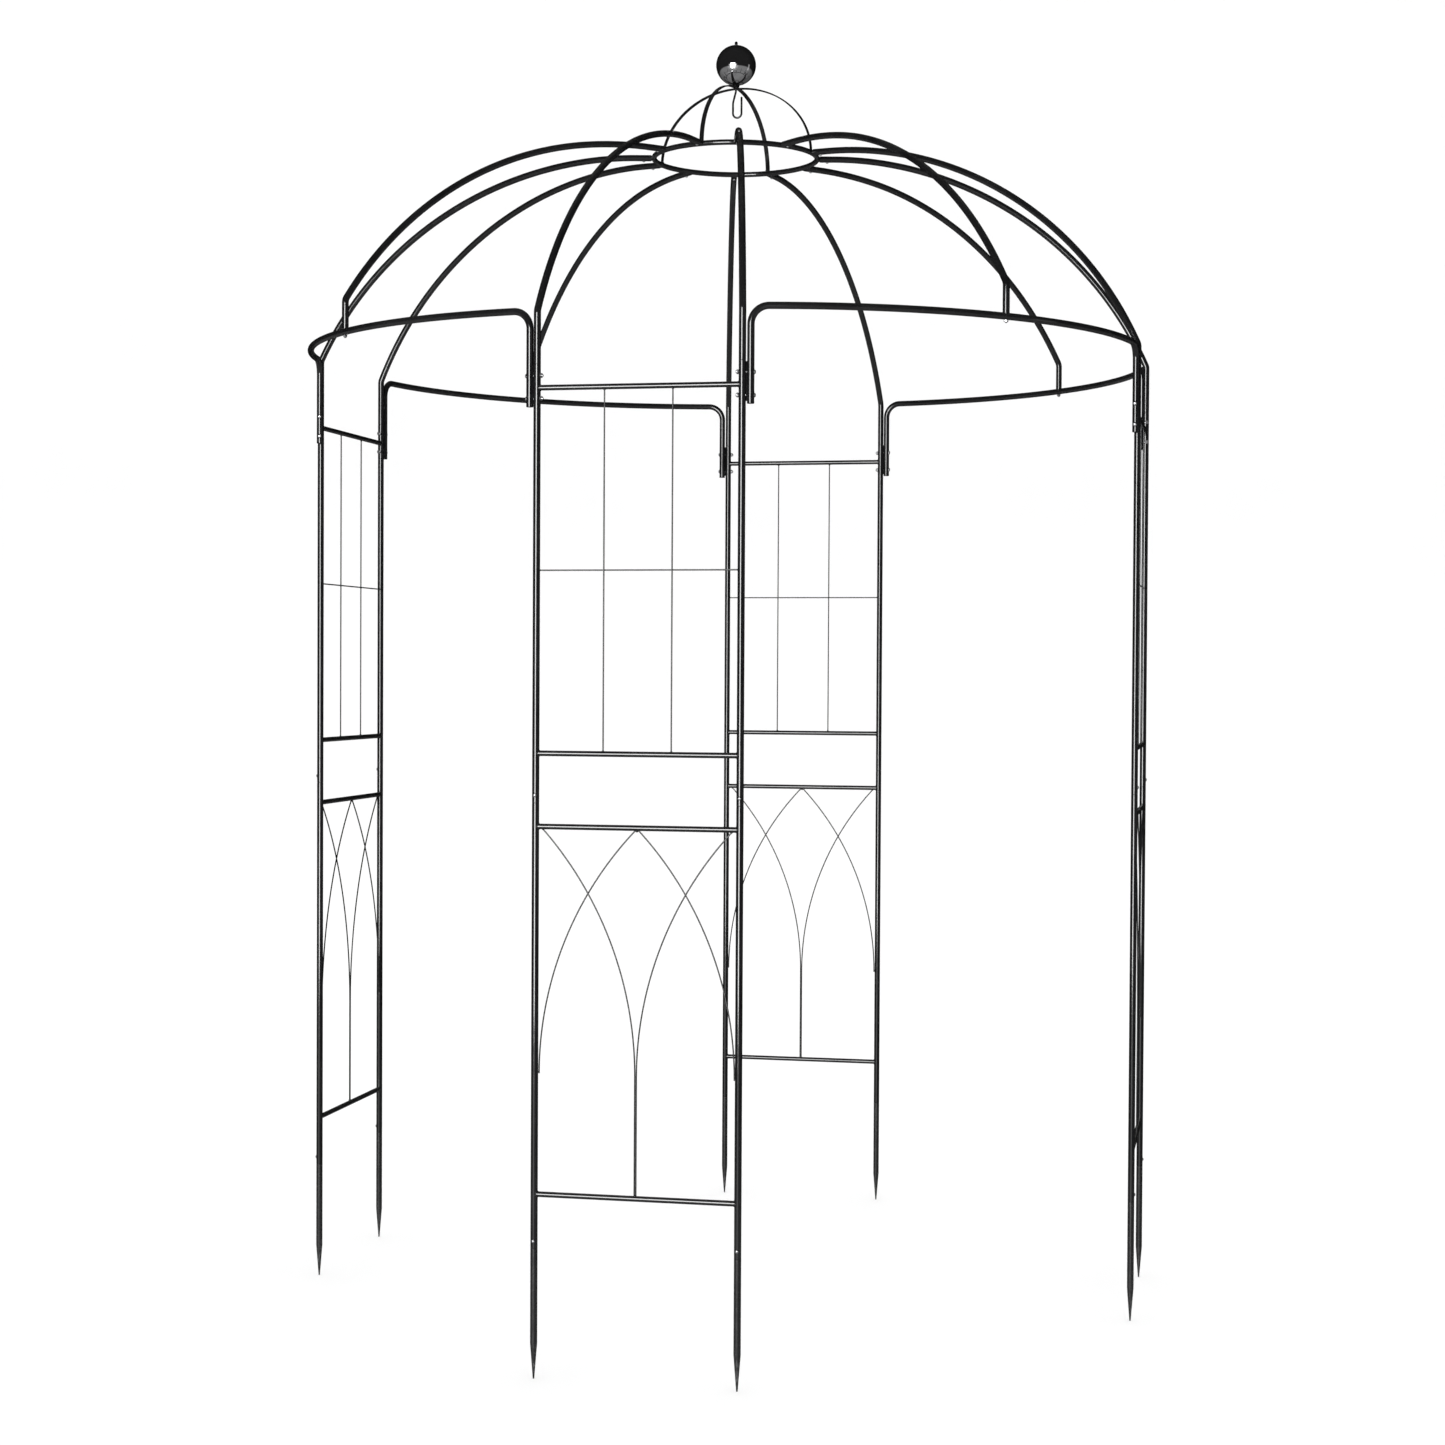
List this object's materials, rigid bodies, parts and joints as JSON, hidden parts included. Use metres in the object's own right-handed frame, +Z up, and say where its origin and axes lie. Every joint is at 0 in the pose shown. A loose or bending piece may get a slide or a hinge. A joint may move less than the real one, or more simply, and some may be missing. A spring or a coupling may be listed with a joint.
{
  "type": "garden pavilion",
  "caption": "Domed round garden pavilion of black steel tube with trellis panels, ground stakes, a mirror ball finial and a hanging hook.",
  "frame": {"origin": "on the central axis, level with the tips of the ground stakes", "axes": "+Z up along the central axis; the four trellis panels face -Y, +X, +Y and -X"},
  "size_m": [1.8424, 1.8424, 2.8],
  "materials": {
    "powder_coat": "glossy black powder coat on steel tube",
    "stake_coat": "satin graphite coat on steel tube",
    "wire_coat": "semi-gloss black coat on steel wire",
    "zinc_fastener": "bright zinc plate, partly blackened",
    "black_mirror": "polished black chrome mirror"
  },
  "bodies": {
    "frame": {"ground_stake_front_l": "stake_coat", "ground_stake_front_r": "stake_coat", "ground_stake_right_l": "stake_coat", "ground_stake_right_r": "stake_coat", "ground_stake_back_l": "stake_coat", "ground_stake_back_r": "stake_coat", "ground_stake_left_l": "stake_coat", "ground_stake_left_r": "stake_coat", "lower_trellis_frame_front": "powder_coat", "lower_trellis_wires_front": "wire_coat", "upper_trellis_frame_front": "powder_coat", "upper_trellis_wires_front": "wire_coat", "lower_trellis_frame_right": "powder_coat", "lower_trellis_wires_right": "wire_coat", "upper_trellis_frame_right": "powder_coat", "upper_trellis_wires_right": "wire_coat", "lower_trellis_frame_back": "powder_coat", "lower_trellis_wires_back": "wire_coat", "upper_trellis_frame_back": "powder_coat", "upper_trellis_wires_back": "wire_coat", "lower_trellis_frame_left": "powder_coat", "lower_trellis_wires_left": "wire_coat", "upper_trellis_frame_left": "powder_coat", "upper_trellis_wires_left": "wire_coat", "dome_rib_front_l": "powder_coat", "dome_rib_front_r": "powder_coat", "dome_rib_right_l": "powder_coat", "dome_rib_right_r": "powder_coat", "dome_rib_back_l": "powder_coat", "dome_rib_back_r": "powder_coat", "dome_rib_left_l": "powder_coat", "dome_rib_left_r": "powder_coat", "middle_rib_front_right": "powder_coat", "door_arch_front_right": "powder_coat", "middle_rib_back_right": "powder_coat", "door_arch_back_right": "powder_coat", "middle_rib_back_left": "powder_coat", "door_arch_back_left": "powder_coat", "middle_rib_front_left": "powder_coat", "door_arch_front_left": "powder_coat", "crown_ring": "powder_coat", "crown_hoop_1": "powder_coat", "crown_hoop_2": "powder_coat", "arch_leg_spacers": "powder_coat", "hub_washer": "powder_coat", "stake_joint_screws": "zinc_fastener", "middle_joint_screws": "zinc_fastener", "crown_screws": "zinc_fastener", "arch_leg_bolts": "zinc_fastener", "arch_leg_nuts": "zinc_fastener", "middle_rib_studs": "zinc_fastener", "middle_rib_nuts": "zinc_fastener"},
    "hook": {"hanging_hook": "wire_coat", "ball_collar": "powder_coat", "gazing_ball": "black_mirror", "ball_knob": "powder_coat"}
  },
  "joints": [
    {"name": "hook_swivel", "type": "hinge", "parent": "frame", "child": "hook", "pos_m": [0, 0, 2.697], "axis": [0, 0, 1], "continuous": true}
  ]
}
